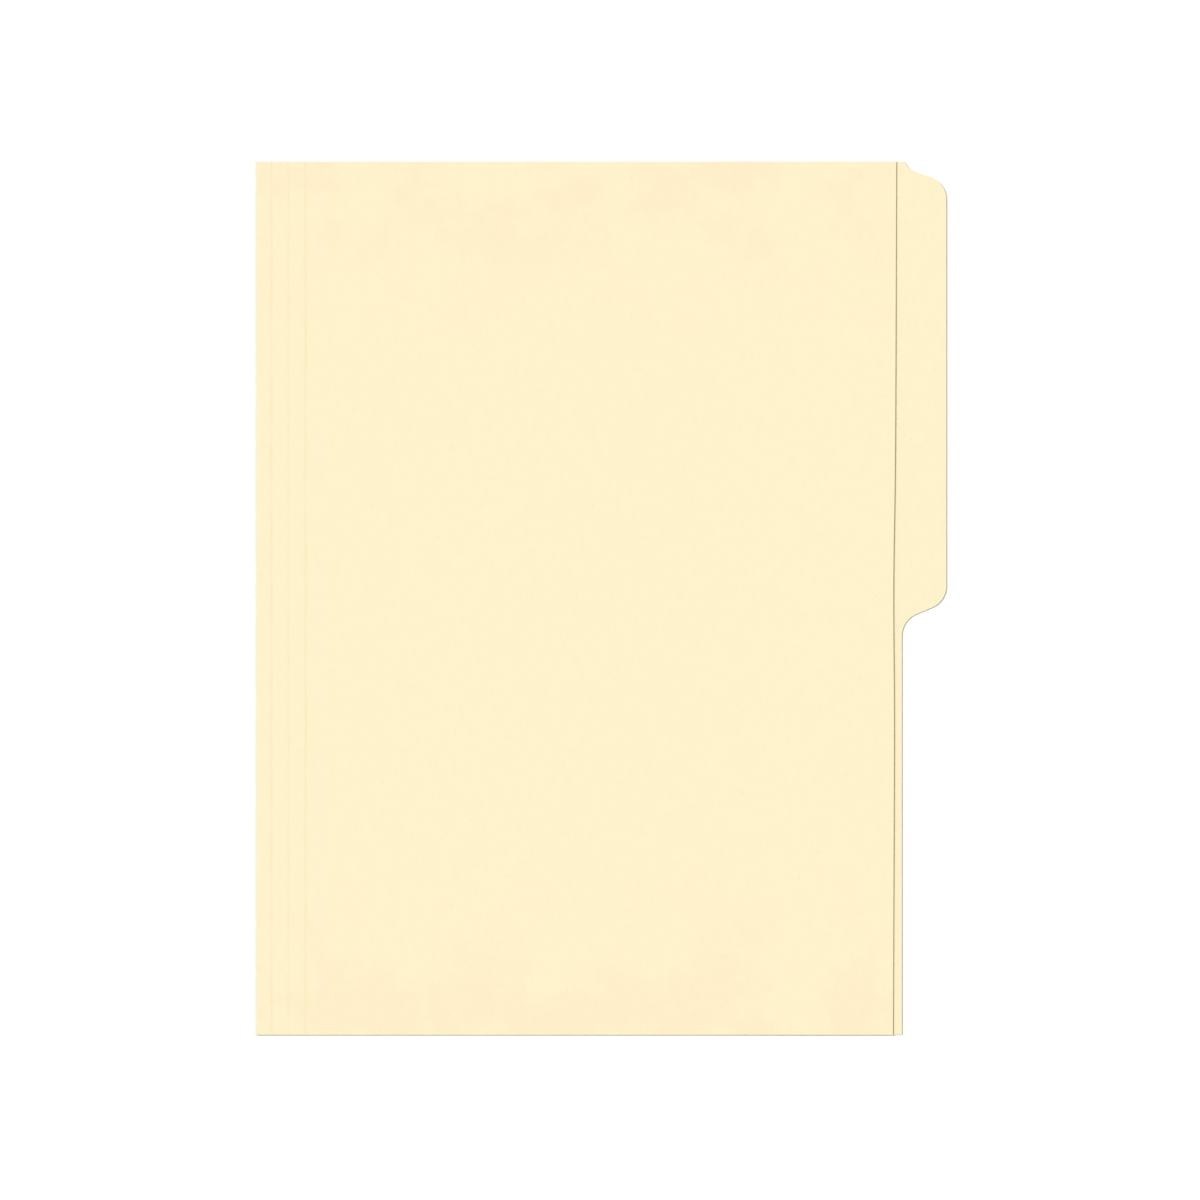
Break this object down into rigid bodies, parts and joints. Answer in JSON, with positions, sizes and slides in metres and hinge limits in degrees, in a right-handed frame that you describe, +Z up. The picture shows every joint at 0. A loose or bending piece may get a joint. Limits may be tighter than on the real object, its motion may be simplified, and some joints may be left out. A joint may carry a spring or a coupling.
{
  "type": "file folder",
  "caption": "Closed manila file folder of folded board with an end-half filing tab, an opening front cover and an expansion gusset at the spine.",
  "frame": {"origin": "on the surface the closed folder lies on, under the middle of its outline with the tab", "axes": "+Z up out of the front cover, +Y along the spine towards the tab's end, +X from the folded edge towards the tab"},
  "size_m": [0.2362, 0.2984, 0.0011],
  "materials": {
    "manila_board": "uncoated, smooth, matt",
    "creased_board": "uncoated, pressed by scoring and folding, matt"
  },
  "bodies": {
    "back": {"back_panel": "manila_board"},
    "spine": {"spine_fold": "creased_board", "spine_score": "creased_board"},
    "strip_1": {"gusset_strip_1": "manila_board", "score_line_1": "creased_board"},
    "strip_2": {"gusset_strip_2": "manila_board", "score_line_2": "creased_board"},
    "strip_3": {"gusset_strip_3": "manila_board", "score_line_3": "creased_board"},
    "front": {"front_panel": "manila_board"}
  },
  "joints": [
    {"name": "cover_fold", "type": "hinge", "parent": "back", "child": "spine", "pos_m": [-0.1176, 0, 0.00053], "axis": [0, 1, 0], "range_deg": [-179.9, 0], "deforming": ["spine_fold"]},
    {"name": "gusset_rise", "type": "hinge", "parent": "spine", "child": "strip_1", "pos_m": [-0.1171, 0, 0.00106], "axis": [0, -1, 0], "range_deg": [0, 90], "deforming": ["spine_score"]},
    {"name": "score_1_fold", "type": "hinge", "parent": "strip_1", "child": "strip_2", "pos_m": [-0.11253, 0, 0.00078], "axis": [0, -1, 0], "range_deg": [-30, 0], "deforming": ["score_line_1"]},
    {"name": "score_2_fold", "type": "hinge", "parent": "strip_2", "child": "strip_3", "pos_m": [-0.10668, 0, 0.00078], "axis": [0, -1, 0], "range_deg": [-30, 0], "deforming": ["score_line_2"]},
    {"name": "score_3_fold", "type": "hinge", "parent": "strip_3", "child": "front", "pos_m": [-0.10082, 0, 0.00078], "axis": [0, -1, 0], "range_deg": [-30, 0], "deforming": ["score_line_3"]}
  ],
  "couplings": [
    {"joint": "score_1_fold", "follows": "gusset_rise", "ratio": -0.33333},
    {"joint": "score_2_fold", "follows": "gusset_rise", "ratio": -0.33333},
    {"joint": "score_3_fold", "follows": "gusset_rise", "ratio": -0.33333}
  ]
}
